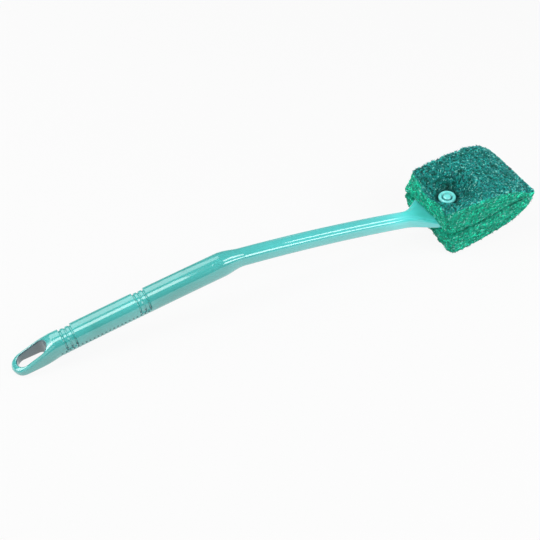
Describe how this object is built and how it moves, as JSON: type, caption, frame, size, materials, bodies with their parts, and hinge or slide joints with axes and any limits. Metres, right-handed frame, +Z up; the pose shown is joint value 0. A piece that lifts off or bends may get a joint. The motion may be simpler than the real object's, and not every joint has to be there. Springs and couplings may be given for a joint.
{
  "type": "aquarium scrubber",
  "caption": "Long-handled scrubber with a folded scouring pad pinned over a blade by a two-piece snap, and a hanging eye.",
  "frame": {"origin": "middle of the length and width, on the surface that the scrubber lies on", "axes": "+X from the hanging eye towards the pad, +Y across the pad, +Z up from the surface"},
  "size_m": [0.4028, 0.059, 0.0501],
  "materials": {
    "handle_plastic": "glossy teal plastic",
    "scouring_fibre": "coarse green non-woven fibre",
    "snap_plastic": "glossy light cyan plastic"
  },
  "bodies": {
    "brush": {"handle": "handle_plastic", "scouring_pad": "scouring_fibre"},
    "ring": {"snap_ring": "snap_plastic"},
    "stud": {"snap_stud": "snap_plastic"}
  },
  "joints": [
    {"name": "ring_lift", "type": "slide", "parent": "brush", "child": "ring", "axis": [-0.1668, 0, 0.986], "range_m": [0, 0.01]},
    {"name": "stud_pull", "type": "slide", "parent": "brush", "child": "stud", "axis": [0.1668, 0, -0.986], "range_m": [0, 0.016]}
  ]
}
